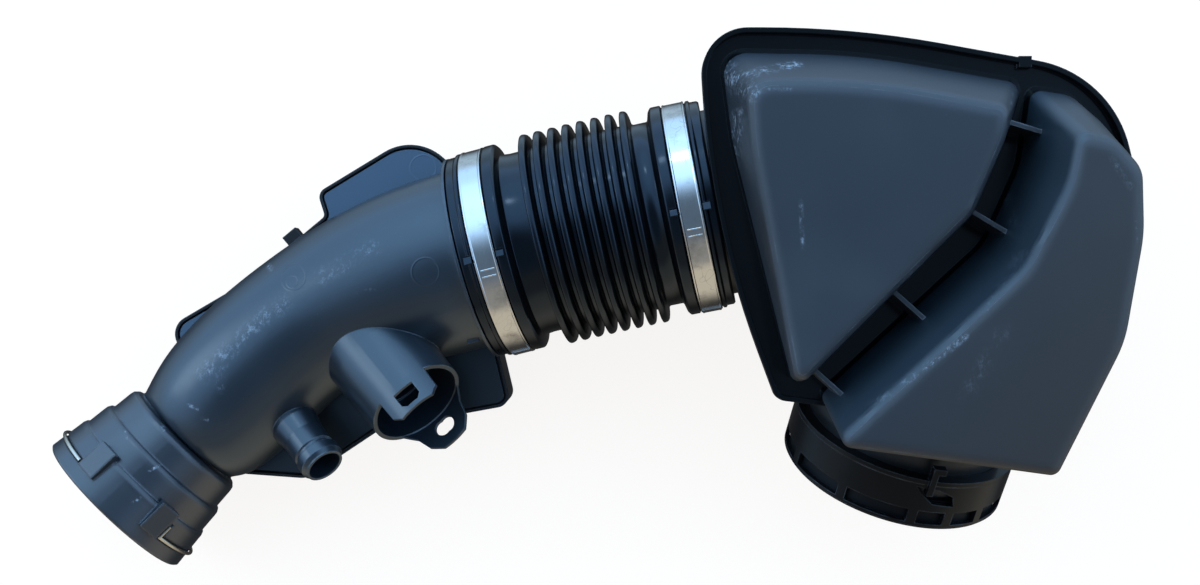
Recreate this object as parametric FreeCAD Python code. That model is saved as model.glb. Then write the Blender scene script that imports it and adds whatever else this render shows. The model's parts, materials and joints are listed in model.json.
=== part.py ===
import FreeCAD, Part
import math
import os

# Air duct of a car engine, lying on the flat back of its chamber, in millimetres.
# From left to right: quick-connect collar, clean-air pipe, bellows hose, two-shell chamber.
# The X axis runs along the duct, Z points up from the surface that it lies on.

Vec = FreeCAD.Vector
UP = Vec(0, 0, 1)

# Walls and clearances
chamber_wall = 2.6
pipe_wall = 2.8
rubber_wall = 2.3
seat_gap = 0.15
weld_gap = 0.1

# Bellows hose: its axis starts at the middle of the left band and bends a little
hose_start = Vec(-48.0, 19.8, 52.0)
hose_heading_start = 14.2
hose_heading_end = 11.0
hose_slope = 5.3
band_spacing = 94.3
cuff_radius = 48.5
cuff_overhang = 11.8
bead_radius = 49.8
bead_width = 4.2
bead_run_out = 1.8
bead_drop = 1.2
edge_bead_radius = 49.4
edge_bead_width = 1.8
bead_flank = 0.5
band_seat_play = 0.4
neck_radius = 43.6
neck_extra_wall = 0.6
crest_radius = 50.9
valley_radius = 45.2
pleat_count = 8
pleat_pitch = 6.66
first_crest = 25.0
crest_drop = 1.1
crest_half_width = 1.5
crest_half_width_inside = 0.9
left_shoulder = 16.4
right_shoulder = 13.2
bump_size = 2.6
bump_length = 2.2
bump_from_band = 1.9
bump_sink = 1.8
bump_angle = 3.0

# Steel band clamps
band_width = 10.0
band_thickness = 0.8
ear_height = 3.4
ear_width = 7.0
ear_angle = 138.0
ear_side_gap = 0.8
lap_side_gap = 0.6
band_overlap = 62.0

# Spigots inside the hose's cuffs
spigot_radius = 43.7
spigot_reach = 11.0
stop_radius = 48.6
stop_thickness = 1.4
spigot_root = 30.0

# Clean-air pipe: the middle of each section, its radius there, from the hose to the neck
pipe_stations = [
    (-78.5, 11.8, 49.8, 42.6),
    (-98.9, 5.0, 48.6, 41.1),
    (-129.9, -9.0, 47.0, 37.2),
    (-162.6, -33.8, 45.0, 36.4),
    (-182.5, -54.0, 43.6, 35.4),
]
neck_centre = Vec(-199.7, -69.3, 42.0)
neck_pipe_radius = 28.7
neck_length = 6.0

# Side ports of the pipe, both along one direction
port_direction = Vec(0.591, -0.617, 0.515)
nipple_mouth = Vec(-127.3, -80.2, 75.0)
nipple_radius = 9.9
nipple_bead_radius = 10.5
nipple_bore = 7.9
nipple_length = 27.0
nipple_root_radius = 11.3
nipple_straight = 19.0
nipple_groove = 8.5
nipple_groove_depth = 0.7
nipple_lead = (2.6, 0.6, 0.8)
vent_mouth = Vec(-83.9, -50.6, 81.5)
vent_radius = 22.8
vent_root_radius = 24.0
vent_wall = 2.0
vent_length = 30.0
vent_stop = 20.0
vent_stop_step = 1.2
latch_relief = 0.4
port_root = 32.0
port_sink = 2.0
latch_middle = -2.5
latch_reach = 15.0
latch_half_width = 12.4
latch_corner = 4.0
latch_window = [(-5.0, 3.6), (5.0, 3.6), (5.0, 10.4), (2.8, 12.6), (-2.8, 12.6), (-5.0, 10.4)]
tongue_reach = 15.4
tongue_half_width = 11.5
tongue_shoulder = 4.5
tongue_root = 19.5
tongue_hole = (10.2, 7.4)
tongue_hole_from_mouth = 6.4

# Resonator box welded behind the pipe
resonator_top = 38.0
plate_thickness = 3.0
rim_width = 1.4
rim_gap = 0.9
resonator_corners = [
    (-43.2, -54.8, 6.0),
    (-76.8, 85.6, 24.0),
    (-137.6, 48.6, 5.0),
    (-134.0, 37.2, 2.5),
    (-172.0, 5.5, 40.0),
    (-209.5, -16.5, 9.0),
    (-177.5, -88.0, 10.0),
    (-143.0, -90.5, 8.0),
    (-107.0, -66.5, 12.0),
]
resonator_peg = Vec(-151.0, 22.0, 0)
peg_size = (8.0, 6.0)
peg_height = 9.0
peg_turn = 40.0
flank_lug = (5.6, 6.0, 9.0)
flank_lug_corner = Vec(-61.5, -24.0, 62.0)
rim_rise = 0.6

# Quick-connect collar: it starts at the neck and widens in three steps
collar_heading = 225.0
collar_rise = 9.0
collar_length = 47.0
step_starts = [0.6, 14.2, 27.0]
step_radii = [33.4, 36.7, 39.2]
step_round = [(0.0, 0.0), (0.7, 0.55), (2.2, 0.9), (4.0, 1.0)]
step_root = 0.4
step_flare = 0.8
edge_chamfer = 0.8
mouth_radius = 41.0
coupling_bore = 35.0
coupling_depth = 24.0
collar_throat = 25.6
throat_cone = (8.0, 2.0)
throat_floor = 1.0
seal_groove_start = 12.0
seal_groove_width = 6.0
seal_groove_depth = 2.4
seal_play = 0.3
seal_below_bore = 0.15
seal_bevel = 1.5
wire_from_mouth = 8.5
wire_hook = 6.8
wire_rise = 0.2
knee_swell = 1.06
wire_diameter = 1.7
wire_slot = 2.6
wire_drop = 0.7
ramp_angles = [-34.0, 22.5]
wire_from_ramp = 9.5
wire_end_room = 4.0
wire_start = ramp_angles[0] - wire_from_ramp
wire_span = 360.0 + wire_start - ramp_angles[1] - wire_from_ramp
slot_angles = [(-90.0, wire_start + wire_end_room), (ramp_angles[1] + wire_from_ramp - wire_end_room, 92.0)]
ramp_length = 15.0
ramp_from_mouth = 7.2
ramp_width = 10.4
ramp_height = 1.3
slot_depth = 2.6

# Chamber: both shells meet in a welded flange
flange_bottom = 109.0
flange_top = 116.0
flange_middle = 112.5
lip_height = 4.0
lip_width = 2.2
rear_rim_inset = 0.6
weld_depth = 1.9
weld_line = 0.1
rear_inset = 9.0
rear_draft = 10.0
flange_corners = [
    (203.5, -62.5, 10.0),
    (229.5, -20.0, 60.0),
    (234.7, 46.0, 90.0),
    (222.8, 95.2, 50.0),
    (110.0, 115.5, 440.0),
    (43.2, 115.5, 20.0),
    (48.3, 30.1, 400.0),
    (76.8, -46.8, 6.0),
]
left_bulge_top = 154.0
left_bulge_base = [
    (85.0, -42.8, 4.0),
    (158.5, 29.8, 18.0),
    (181.5, 77.6, 60.0),
    (186.0, 93.6, 6.0),
    (112.0, 106.4, 300.0),
    (51.0, 107.4, 10.0),
    (56.6, 66.4, 120.0),
]
left_bulge_face = [
    (80.6, -40.1, 4.0),
    (153.5, 32.6, 18.0),
    (166.6, 63.5, 20.0),
    (167.6, 75.8, 5.0),
    (108.0, 87.2, 300.0),
    (60.8, 86.4, 9.0),
    (62.4, 60.0, 120.0),
]
right_bulge_top = 169.0
right_bulge_base = [
    (91.5, -46.6, 4.0),
    (192.0, -59.5, 8.0),
    (217.5, -18.0, 50.0),
    (226.0, 45.0, 40.0),
    (223.0, 73.0, 24.0),
    (204.0, 89.0, 14.0),
    (186.6, 91.5, 5.0),
    (181.5, 56.0, 40.0),
    (166.5, 22.5, 25.0),
]
right_bulge_face = [
    (92.4, -62.3, 4.0),
    (183.4, -74.8, 5.0),
    (211.0, -20.0, 50.0),
    (218.6, 22.0, 60.0),
    (218.2, 48.0, 12.0),
    (207.5, 60.5, 12.0),
    (192.6, 64.0, 5.0),
    (188.4, 44.0, 40.0),
    (170.5, 9.8, 30.0),
]
bulge_rounding = 4.0
rib_height = 134.0
rib_thickness = 2.0
rib_middles = [(179.3, 70.4, -17.0), (164.0, 30.5, -31.0), (130.7, -5.2, -41.5), (96.3, -37.7, -42.0)]
rib_length = 32.0
chamber_lug = (182.5, 100.5, 5.5, 5.0)

# Chamber inlet with its locking ring
inlet_direction = Vec(-0.1975, -0.888, -0.415)
ring_radius = 52.5
ring_mouth = Vec(138.9, -82.6, ring_radius + 0.2)
ring_wall = 2.4
ring_length = 25.0
ring_edge = 1.0
ring_rear_lip = (2.4, 0.2)
ring_floor = 2.2
seal_room = 3.5
inlet_neck_radius = ring_radius - ring_wall - seal_room
inlet_neck_reach = 34.0
inlet_neck_back = 1.6
inlet_stop = 24.0
inlet_stop_step = 1.2
stop_ring_place = 19.0
stop_ring_width = 4.0
stop_ring_clearance = 1.8
window_teeth = [98.0, 67.0, 33.0, -3.5, -22.5, -42.5, -72.0, -104.0, -137.0, -170.0, -203.0, -233.0]
window_tooth = 5.0
window_low = -9.0
window_high = -2.6
latch_bar = -22.5
latch_turn = -11.5
latch_slot = [(9.1, -21.0), (6.4, -18.0), (0.0, -13.2), (-10.4, -12.5), (-8.7, -17.5), (-1.0, -20.6)]
latch_tab = (3.0, 1.4, 14.0)
latch_tab_place = (3.4, -32.0)
latch_ledge = 4.5
inlet_seal_width = 11.5
inlet_seal_place = -1.8
inlet_seal_bevel = 2.0


def unit(vector):
    """Copy of a vector with length one."""
    result = Vec(vector)
    result.normalize()
    return result


def seat(origin, axis, top=UP):
    """Placement at origin with local Z along the axis and local X towards the top."""
    z = unit(axis)
    x = unit(top - z * top.dot(z))
    y = z.cross(x)
    grid = FreeCAD.Matrix(x.x, y.x, z.x, origin.x,
                          x.y, y.y, z.y, origin.y,
                          x.z, y.z, z.z, origin.z,
                          0, 0, 0, 1)
    return FreeCAD.Placement(grid)


def placed(shape, placement):
    """Copy of a local shape at a placement."""
    result = shape.copy()
    result.Placement = placement.multiply(shape.Placement)
    return result


def heading(angle, rise):
    """Direction at an angle from X, rising by a second angle."""
    level = math.cos(math.radians(rise))
    turn = math.radians(angle)
    return Vec(level * math.cos(turn), level * math.sin(turn), math.sin(math.radians(rise)))


def revolved(profile):
    """Solid turned about local Z from corners (height, radius)."""
    points = [Vec(radius, 0, height) for height, radius in profile]
    face = Part.Face(Part.makePolygon(points + points[:1]))
    return face.revolve(Vec(0, 0, 0), UP, 360)


def tube(outer, inner, low, high):
    """Plain tube about local Z."""
    return revolved([(low, inner), (low, outer), (high, outer), (high, inner)])


def corner_frame(corners, index, height):
    """The corner point, the directions to its neighbours and half the angle between them."""
    count = len(corners)
    here = Vec(corners[index][0], corners[index][1], height)
    before = Vec(corners[index - 1][0], corners[index - 1][1], height)
    after = Vec(corners[(index + 1) % count][0], corners[(index + 1) % count][1], height)
    back = unit(before - here)
    on = unit(after - here)
    return here, back, on, back.getAngle(on) / 2


def outline(corners, height):
    """Closed wire at a height through corners (x, y, radius), each rounded by its radius."""
    arcs = []
    for index, corner in enumerate(corners):
        here, back, on, half = corner_frame(corners, index, height)
        radius = corner[2]
        reach = radius / math.tan(half)
        middle = here + unit(back + on) * (radius / math.sin(half) - radius)
        arcs.append(Part.Arc(here + back * reach, middle, here + on * reach))
    edges = []
    for index, arc in enumerate(arcs):
        following = arcs[(index + 1) % len(arcs)]
        edges.append(arc.toShape())
        edges.append(Part.LineSegment(arc.EndPoint, following.StartPoint).toShape())
    return Part.Wire(edges)


def inset(corners, distance):
    """Corners moved inwards by a distance, counted anticlockwise."""
    moved = []
    for index, corner in enumerate(corners):
        here, back, on, half = corner_frame(corners, index, 0)
        convex = back.cross(on).z < 0
        side = 1 if convex else -1
        point = here + unit(back + on) * (side * distance / math.sin(half))
        radius = max(corner[2] - side * distance, 0.6)
        moved.append((point.x, point.y, radius))
    return moved


def prism(corners, low, high):
    """Solid between two heights over one rounded outline."""
    return Part.Face(outline(corners, low)).extrude(UP * (high - low))


def drafted(base, low, face, high):
    """Solid between two rounded outlines at two heights."""
    return Part.makeLoft([outline(base, low), outline(face, high)], True, True)


def between(base, face, share):
    """Corners at a share of the way from one outline to another."""
    return [tuple(a + (b - a) * share for a, b in zip(low, high)) for low, high in zip(base, face)]


def bulge(base, low, face, high):
    """Drafted solid between two outlines, rolled over at its top edge."""
    levels = []
    for angle in (0, 30, 60, 90):
        height = high - bulge_rounding * (1 - math.sin(math.radians(angle)))
        level = between(base, face, (height - low) / (high - low))
        shrink = bulge_rounding * (1 - math.cos(math.radians(angle)))
        levels.append(outline(inset(level, shrink), height))
    return Part.makeLoft([outline(base, low)] + levels, True, True)


def hose_place(distance):
    """Placement on the hose's bent axis, at a distance from the middle of the left band."""
    turn = math.radians(hose_heading_end - hose_heading_start) / band_spacing
    first = math.radians(hose_heading_start)
    angle = first + turn * distance
    level = math.cos(math.radians(hose_slope))
    along_x = level * (math.sin(angle) - math.sin(first)) / turn
    along_y = level * (math.cos(first) - math.cos(angle)) / turn
    climb = distance * math.sin(math.radians(hose_slope))
    origin = hose_start + Vec(along_x, along_y, climb)
    return seat(origin, heading(math.degrees(angle), hose_slope))


def hose_loft(stations):
    """Solid through circles (distance, radius) on the hose's axis."""
    rings = []
    for distance, radius in stations:
        ring = Part.Wire(Part.makeCircle(radius))
        rings.append(placed(ring, hose_place(distance)))
    return Part.makeLoft(rings, True, True)


def cuff_stations(shoulder):
    """Outer form of one cuff from its open end to its neck, measured from its band."""
    seat_half = band_width / 2 + band_seat_play
    bead_end = seat_half + bead_width
    return [(-cuff_overhang, cuff_radius),
            (-seat_half - edge_bead_width, cuff_radius),
            (-seat_half - edge_bead_width + bead_flank, edge_bead_radius),
            (-seat_half - bead_flank, edge_bead_radius),
            (-seat_half, cuff_radius),
            (seat_half, cuff_radius),
            (seat_half + bead_flank, bead_radius),
            (bead_end, bead_radius),
            (bead_end + bead_run_out, bead_radius - bead_drop),
            (shoulder, neck_radius)]


def pleat_stations(offset, half_width):
    """Crests and valleys of the bellows, moved inwards by an offset."""
    half = pleat_pitch / 2
    shoulder = crest_radius - offset - crest_drop
    stations = []
    for index in range(pleat_count):
        crest = first_crest + index * pleat_pitch
        if index:
            stations.append((crest - half, valley_radius - offset))
        stations.append((crest - half_width, shoulder))
        stations.append((crest, crest_radius - offset))
        stations.append((crest + half_width, shoulder))
    return stations


def bellows_hose():
    """Rubber hose with two cuffs and eight pleats, hollow from end to end."""
    last_crest = first_crest + (pleat_count - 1) * pleat_pitch
    flank = pleat_pitch / 2 + bead_flank
    left = cuff_stations(left_shoulder)
    right = [(band_spacing - d, r) for d, r in reversed(cuff_stations(right_shoulder))]
    outer = left + [(first_crest - flank, neck_radius)]
    outer += pleat_stations(0.0, crest_half_width)
    outer += [(last_crest + flank, neck_radius)] + right
    cuff_bore = spigot_radius + seat_gap
    neck_bore = neck_radius - rubber_wall - neck_extra_wall
    cuff_depth = spigot_reach + 0.5
    inner = [(-cuff_overhang - 1, cuff_bore),
             (cuff_depth, cuff_bore),
             (left_shoulder + 1, neck_bore),
             (first_crest - flank, neck_bore)]
    inner += pleat_stations(rubber_wall, crest_half_width_inside)
    inner += [(last_crest + flank, neck_bore),
              (band_spacing - right_shoulder - 0.6, neck_bore),
              (band_spacing - cuff_depth, cuff_bore),
              (band_spacing + cuff_overhang + 1, cuff_bore)]
    hose = hose_loft(outer).cut(hose_loft(inner))
    for middle in (0.0, band_spacing):
        for side in (-1, 1):
            bump = Part.makeBox(bump_size, bump_size, bump_length)
            bump.translate(Vec(bead_radius - bump_sink, -bump_size / 2, 0))
            bump.rotate(Vec(0, 0, 0), UP, bump_angle)
            start = middle + side * (band_width / 2 + bump_from_band) - bump_length / 2
            hose = hose.fuse(placed(bump, hose_place(start)))
    return hose


def band_clamp(distance):
    """One steel strip round a cuff, lapped over itself, with a squeezed ear at the back."""
    inner = cuff_radius + seat_gap
    half = band_width / 2
    strip = tube(inner + band_thickness, inner, -half, half)
    lap_half = half - lap_side_gap
    lap = tube(inner + 2 * band_thickness, inner + band_thickness / 2, -lap_half, lap_half)
    lap = lap.common(sector(inner + 5, -half, half, ear_angle - band_overlap, ear_angle))
    ear = Part.makeBox(ear_height + band_thickness, ear_width, band_width - 2 * ear_side_gap)
    hollow = Part.makeBox(ear_height - band_thickness, ear_width - 3 * band_thickness, band_width)
    ear.translate(Vec(inner + band_thickness / 2, -ear_width / 2, -half + ear_side_gap))
    side = -ear_width / 2 + 1.5 * band_thickness
    hollow.translate(Vec(inner + 1.5 * band_thickness, side, -half))
    ear = ear.cut(hollow)
    ear.rotate(Vec(0, 0, 0), UP, ear_angle)
    return placed(strip.fuse([lap, ear]), hose_place(distance))


def sector(radius, low, high, start, end):
    """Wedge about local Z between two angles from local X."""
    wedge = Part.makeCylinder(radius, high - low, Vec(0, 0, low), UP, end - start)
    wedge.rotate(Vec(0, 0, 0), UP, start)
    return wedge


def pipe_body(offset):
    """Curved solid of the pipe with each section smaller by an offset."""
    start = hose_place(-cuff_overhang - seat_gap - stop_thickness)
    stations = [(start.Base, spigot_radius - 0.4)]
    stations += [(Vec(x, y, z), radius) for x, y, z, radius in pipe_stations]
    stations.append((neck_centre, neck_pipe_radius))
    path = Part.BSplineCurve()
    first = start.Rotation.multVec(UP) * -1
    last = heading(collar_heading, collar_rise)
    points = [point for point, radius in stations]
    path.interpolate(Points=points, InitialTangent=first, FinalTangent=last)
    rings = []
    for point, radius in stations:
        direction = path.tangent(path.parameter(point))[0]
        rings.append(Part.Wire(Part.makeCircle(radius - offset, point, direction)))
    return Part.makeLoft(rings, True, False)


def port_place(mouth):
    """Placement at a port's mouth, looking out of it."""
    return seat(mouth, port_direction)


def nipple_solid():
    """Outside of the small nipple, with a groove and an end bead."""
    root = -nipple_length - port_root
    groove_radius = nipple_radius - nipple_groove_depth
    groove_half = nipple_groove_depth
    lead_start, lead_end, lead_fall = nipple_lead
    profile = [(root, 0), (root, nipple_root_radius), (-nipple_length, nipple_root_radius),
               (-nipple_straight, nipple_radius),
               (-nipple_groove - 2 * groove_half, nipple_radius),
               (-nipple_groove - groove_half, groove_radius),
               (-nipple_groove + groove_half, groove_radius),
               (-nipple_groove + 2 * groove_half, nipple_bead_radius),
               (-lead_start, nipple_bead_radius),
               (-lead_end, nipple_radius - lead_fall),
               (0, nipple_radius - lead_fall), (0, 0)]
    return placed(revolved(profile), port_place(nipple_mouth))


def flat_solid(points, low, high):
    """Block seen from the port's top: corners (across, along), between two heights."""
    corners = [Vec(low, across, along) for across, along in points]
    face = Part.Face(Part.makePolygon(corners + corners[:1]))
    return face.extrude(Vec(high - low, 0, 0))


def mirrored(points, middle):
    """Corners (half width, along) of one side, closed with the other side about a middle."""
    right = [(middle + across, along) for across, along in points]
    left = [(middle - across, along) for across, along in reversed(points)]
    return right + left


def vent_solid():
    """Outside of the large port with its latch above and its tongue below."""
    root = -vent_length - port_root
    barrel = revolved([(root, 0), (root, vent_root_radius), (-vent_length, vent_root_radius),
                       (0, vent_radius), (0, 0)])
    skirt = tube(vent_radius, vent_radius - vent_wall, -1, max(latch_reach, tongue_reach) + 1)
    latch = flat_solid(mirrored([(latch_half_width, -port_sink),
                                 (latch_half_width - 0.4, latch_reach - latch_corner),
                                 (latch_half_width - latch_corner, latch_reach)], latch_middle),
                       0, vent_radius + 1)
    tongue = flat_solid(mirrored([(tongue_root, -port_sink),
                                  (tongue_half_width + 2, tongue_shoulder),
                                  (tongue_half_width, tongue_reach - latch_corner),
                                  (tongue_half_width - 5, tongue_reach)], 0),
                        -vent_radius - 1, 0)
    solid = barrel.fuse([skirt.common(latch), skirt.common(tongue)])
    return placed(solid, port_place(vent_mouth))


def vent_cuts():
    """Bore of the large port, the latch's window and the tongue's hole."""
    root = -vent_length - port_root
    bore_radius = vent_radius - vent_wall
    bore = Part.makeCylinder(bore_radius, vent_stop, Vec(0, 0, -vent_stop))
    way = Part.makeCylinder(bore_radius - vent_stop_step, -root, Vec(0, 0, root))
    relief = Part.makeCylinder(bore_radius + latch_relief, tongue_reach + 1)
    corners = [(latch_middle + across, along) for across, along in latch_window]
    window = flat_solid(corners, 0, vent_radius + 2)
    length, width = tongue_hole
    slots = []
    for side in (-1, 1):
        end = Part.makeCylinder(width / 2, vent_radius + 2, Vec(-vent_radius - 2, 0, 0), Vec(1, 0, 0))
        end.translate(Vec(0, side * (length - width) / 2, tongue_hole_from_mouth))
        slots.append(end)
    place = port_place(vent_mouth)
    return [placed(piece, place) for piece in [bore, way, relief, window] + slots]


def clean_air_pipe():
    """Pipe, ports, hose spigot and resonator plate as one moulding."""
    start = hose_place(-cuff_overhang - seat_gap)
    bore_radius = spigot_radius - pipe_wall
    spigot = tube(spigot_radius, bore_radius, -stop_thickness / 2, cuff_overhang + spigot_reach)
    stop = tube(stop_radius, bore_radius, -stop_thickness, 0)
    neck = tube(neck_pipe_radius, neck_pipe_radius - pipe_wall, 0, neck_length)
    plate_edge = inset(resonator_corners, rim_width + rim_gap)
    plate = prism(plate_edge, resonator_top - plate_thickness, resonator_top)
    lug = Part.makeBox(*flank_lug)
    lug.rotate(Vec(0, 0, 0), UP, hose_heading_start)
    lug.translate(flank_lug_corner)
    lug = lug.cut(pipe_body(pipe_wall / 2))
    solid = pipe_body(0.0).fuse([nipple_solid(), vent_solid(), plate]).cut(pipe_body(pipe_wall))
    solid = solid.fuse([placed(spigot, start), placed(stop, start), placed(neck, collar_place()), lug])
    reach = nipple_length + port_root
    nipple_way = Part.makeCylinder(nipple_bore, reach, Vec(0, 0, -reach))
    for piece in [placed(nipple_way, port_place(nipple_mouth))] + vent_cuts():
        solid = solid.cut(piece)
    return solid


def resonator_shell():
    """Open box behind the pipe's plate, with saddles where the pipe passes its ends."""
    rim_top = resonator_top + rim_rise
    outside = prism(resonator_corners, 0, rim_top)
    room = prism(inset(resonator_corners, chamber_wall), chamber_wall, rim_top + 1)
    plate_seat = resonator_top - plate_thickness - weld_gap
    groove = prism(inset(resonator_corners, rim_width), plate_seat, rim_top + 1)
    peg = Part.makeBox(peg_size[0], peg_size[1], peg_height)
    peg.rotate(Vec(0, 0, 0), UP, peg_turn)
    peg.translate(resonator_peg + UP * (resonator_top - peg_height))
    shell = outside.fuse(peg).cut(room).cut(groove)
    stop_room = Part.makeCylinder(stop_radius + seat_gap, cuff_overhang + stop_thickness,
                                  Vec(0, 0, -stop_thickness - seat_gap))
    start = hose_place(-cuff_overhang - seat_gap)
    return shell.cut(pipe_body(-seat_gap)).cut(placed(stop_room, start))


def collar_steps():
    """Outer form of the collar as corners (distance from the neck, radius)."""
    points = []
    ends = step_starts[1:] + [collar_length]
    below = neck_pipe_radius + step_root
    for start, end, radius in zip(step_starts, ends, step_radii):
        for distance, share in step_round:
            points.append((start + distance, below + (radius - below) * share))
        points.append((end, radius + step_flare))
        below = radius + step_flare
    points[-1] = (collar_length - edge_chamfer, mouth_radius)
    return points


def collar_place():
    """Placement of the collar at the neck, looking out of its mouth."""
    return seat(neck_centre, heading(collar_heading, collar_rise))


def coupling_collar():
    """Stepped collar with a socket for the neck, a coupling bore and slots for the wire."""
    floor = collar_length - coupling_depth
    cone_length, cone_rise = throat_cone
    profile = [(0, collar_throat), (0, neck_pipe_radius + step_root)] + collar_steps()
    profile += [(collar_length, mouth_radius - edge_chamfer),
                (collar_length, coupling_bore + edge_chamfer),
                (collar_length - edge_chamfer, coupling_bore),
                (floor, coupling_bore),
                (floor - cone_length, collar_throat + cone_rise),
                (neck_length + throat_floor, collar_throat)]
    collar = revolved(profile)
    socket = tube(neck_pipe_radius + weld_gap, collar_throat - 1, -1, neck_length + weld_gap)
    groove_low = collar_length - seal_groove_start - seal_groove_width
    groove = tube(coupling_bore + seal_groove_depth, coupling_bore - 1, groove_low,
                  groove_low + seal_groove_width)
    collar = collar.cut(socket).cut(groove)
    plane = collar_length - wire_from_mouth
    ring = tube(mouth_radius + slot_depth, mouth_radius - slot_depth, plane - wire_slot / 2,
                plane + wire_slot / 2)
    for start, end in slot_angles:
        collar = collar.cut(ring.common(sector(mouth_radius + slot_depth, 0, collar_length, start, end)))
    pocket = tube(mouth_radius + slot_depth, mouth_radius - slot_depth, plane - wire_hook - wire_slot / 2,
                  plane)
    collar = collar.cut(pocket.common(sector(mouth_radius + slot_depth, 0, collar_length,
                                             wire_start - wire_end_room, wire_start + wire_end_room)))
    inside = Part.makeCylinder(mouth_radius - 2 * ramp_height, collar_length)
    for angle in ramp_angles:
        ramp = Part.makeBox(3 * ramp_height, ramp_width, ramp_length)
        start = collar_length - ramp_length - ramp_from_mouth
        ramp.translate(Vec(mouth_radius - 2 * ramp_height, -ramp_width / 2, start))
        ramp.rotate(Vec(0, 0, 0), UP, angle)
        collar = collar.fuse(ramp.cut(inside))
    return placed(collar, collar_place())


def collar_seal():
    """Rubber ring in the collar's groove, just below the bore."""
    high = collar_length - seal_groove_start - seal_play
    low = high - seal_groove_width + 2 * seal_play
    outer = coupling_bore + seal_groove_depth
    inner = coupling_bore + seal_below_bore
    lip = (outer + inner) / 2
    ring = revolved([(low, inner), (low, outer), (high, outer), (high, lip),
                     (high - seal_bevel, inner)])
    return placed(ring, collar_place())


def collar_wire_clip():
    """Spring wire bent to an open ring, with a hook at the end that faces up."""
    radius = mouth_radius + wire_rise
    thick = wire_diameter / 2
    end = Vec(radius, 0, 0)
    ring = Part.makeTorus(radius, thick, Vec(0, 0, 0), UP, 0, 360, wire_span)
    ring.rotate(Vec(0, 0, 0), UP, -wire_span)
    knee = Part.makeSphere(thick * knee_swell, end)
    hook = Part.makeCylinder(thick, wire_hook, end - UP * wire_hook, UP)
    wire = ring.fuse([knee, hook])
    wire.rotate(Vec(0, 0, 0), UP, wire_start)
    wire.translate(Vec(-wire_drop, 0, collar_length - wire_from_mouth))
    return placed(wire, collar_place())


def spigot_place():
    """Placement of the chamber's spigot at the hose's end, looking into the hose."""
    place = hose_place(band_spacing + cuff_overhang + seat_gap)
    return seat(place.Base, place.Rotation.multVec(UP) * -1)


def flange_prism(offset, low, high):
    """Slab over the flange's outline, moved inwards by an offset."""
    return prism(inset(flange_corners, offset), low, high)


def chamber_front_shell():
    """Front half with lip, two bulges, the channel between them and its ribs."""
    plate_top = flange_top - lip_height
    weld_face = flange_middle - weld_depth
    shell = flange_prism(0.0, weld_face, flange_top)
    shell = shell.cut(flange_prism(lip_width, plate_top, flange_top + 1))
    left = bulge(left_bulge_base, weld_face, left_bulge_face, left_bulge_top)
    right = bulge(right_bulge_base, weld_face, right_bulge_face, right_bulge_top)
    shell = shell.fuse([left, right])
    for x, y, angle in rib_middles:
        rib = Part.makeBox(rib_length, rib_thickness, rib_height - plate_top)
        rib.translate(Vec(-rib_length / 2, -rib_thickness / 2, plate_top))
        rib.rotate(Vec(0, 0, 0), UP, angle)
        rib.translate(Vec(x, y, 0))
        shell = shell.fuse(rib)
    x, y, length, width = chamber_lug
    lug = Part.makeBox(length, width, lip_height)
    lug.translate(Vec(x, y - width / 2, plate_top))
    shell = shell.fuse(lug)
    for base, face, top in ((left_bulge_base, left_bulge_face, left_bulge_top),
                            (right_bulge_base, right_bulge_face, right_bulge_top)):
        room = drafted(inset(base, chamber_wall), weld_face - 1, inset(face, chamber_wall),
                       top - chamber_wall)
        shell = shell.cut(room)
    return shell


def chamber_rear_shell():
    """Rear half: drafted tray with a flat back, hose spigot and inlet neck."""
    rim_top = flange_middle - weld_depth - weld_line
    body_top = inset(flange_corners, rear_inset)
    body_foot = inset(flange_corners, rear_inset + rear_draft)
    shell = drafted(body_foot, 0, body_top, rim_top)
    shell = shell.fuse(flange_prism(rear_rim_inset, flange_bottom, rim_top))
    spigot = Part.makeCylinder(spigot_radius, cuff_overhang + spigot_reach + spigot_root,
                               Vec(0, 0, -spigot_root))
    neck_place = seat(ring_mouth, inlet_direction)
    neck_start = -inlet_neck_reach - ring_length
    neck = Part.makeCylinder(inlet_neck_radius, -inlet_neck_back - neck_start, Vec(0, 0, neck_start))
    stop = Part.makeCylinder(ring_radius - ring_wall - stop_ring_clearance, stop_ring_width,
                             Vec(0, 0, -stop_ring_place))
    shell = shell.fuse([placed(spigot, spigot_place()), placed(neck.fuse(stop), neck_place)])
    above = flange_prism(-1, rim_top, right_bulge_top)
    room = drafted(inset(body_foot, chamber_wall), chamber_wall, inset(body_top, chamber_wall), rim_top + 1)
    way = Part.makeCylinder(spigot_radius - pipe_wall, cuff_overhang + spigot_reach + spigot_root + 1,
                            Vec(0, 0, -spigot_root))
    inlet_bore = inlet_neck_radius - chamber_wall
    inlet = Part.makeCylinder(inlet_bore, inlet_stop, Vec(0, 0, -inlet_stop))
    passage = Part.makeCylinder(inlet_bore - inlet_stop_step, -neck_start, Vec(0, 0, neck_start))
    inlet = placed(inlet.fuse(passage), neck_place)
    for piece in (above, room, placed(way, spigot_place()), inlet):
        shell = shell.cut(piece)
    return shell


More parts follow.
